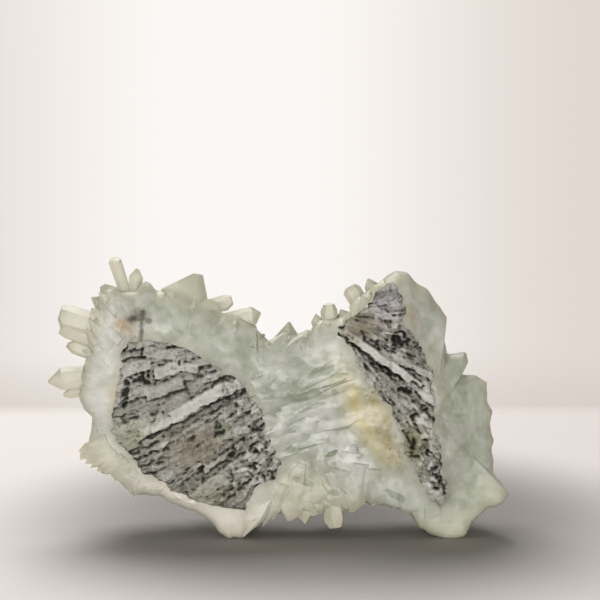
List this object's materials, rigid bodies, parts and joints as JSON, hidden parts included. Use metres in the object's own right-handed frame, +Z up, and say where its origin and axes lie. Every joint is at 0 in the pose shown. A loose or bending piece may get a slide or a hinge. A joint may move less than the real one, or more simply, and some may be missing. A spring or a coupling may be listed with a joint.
{
  "type": "clear quartz cluster",
  "caption": "Cluster of clear, pale green quartz points grown round two pieces of grey layered host rock; stands on flat facets under its base.",
  "frame": {"origin": "on the ground, under the centre of the cluster's bounding box", "axes": "+Z up, +X to the right along the cluster's length as the broken side with the rock is seen, +Y away from that side towards the crystal-covered back"},
  "size_m": [0.1324, 0.0506, 0.0807],
  "materials": {
    "clear_quartz": "natural crystal faces, clear at the tips and milky inside, with a pale green cast and a yellow iron stain between the pieces of rock",
    "grey_host_rock": null
  },
  "bodies": {
    "root": {"quartz_cluster": "clear_quartz", "host_rock_left": "grey_host_rock", "host_rock_right": "grey_host_rock"}
  },
  "joints": []
}
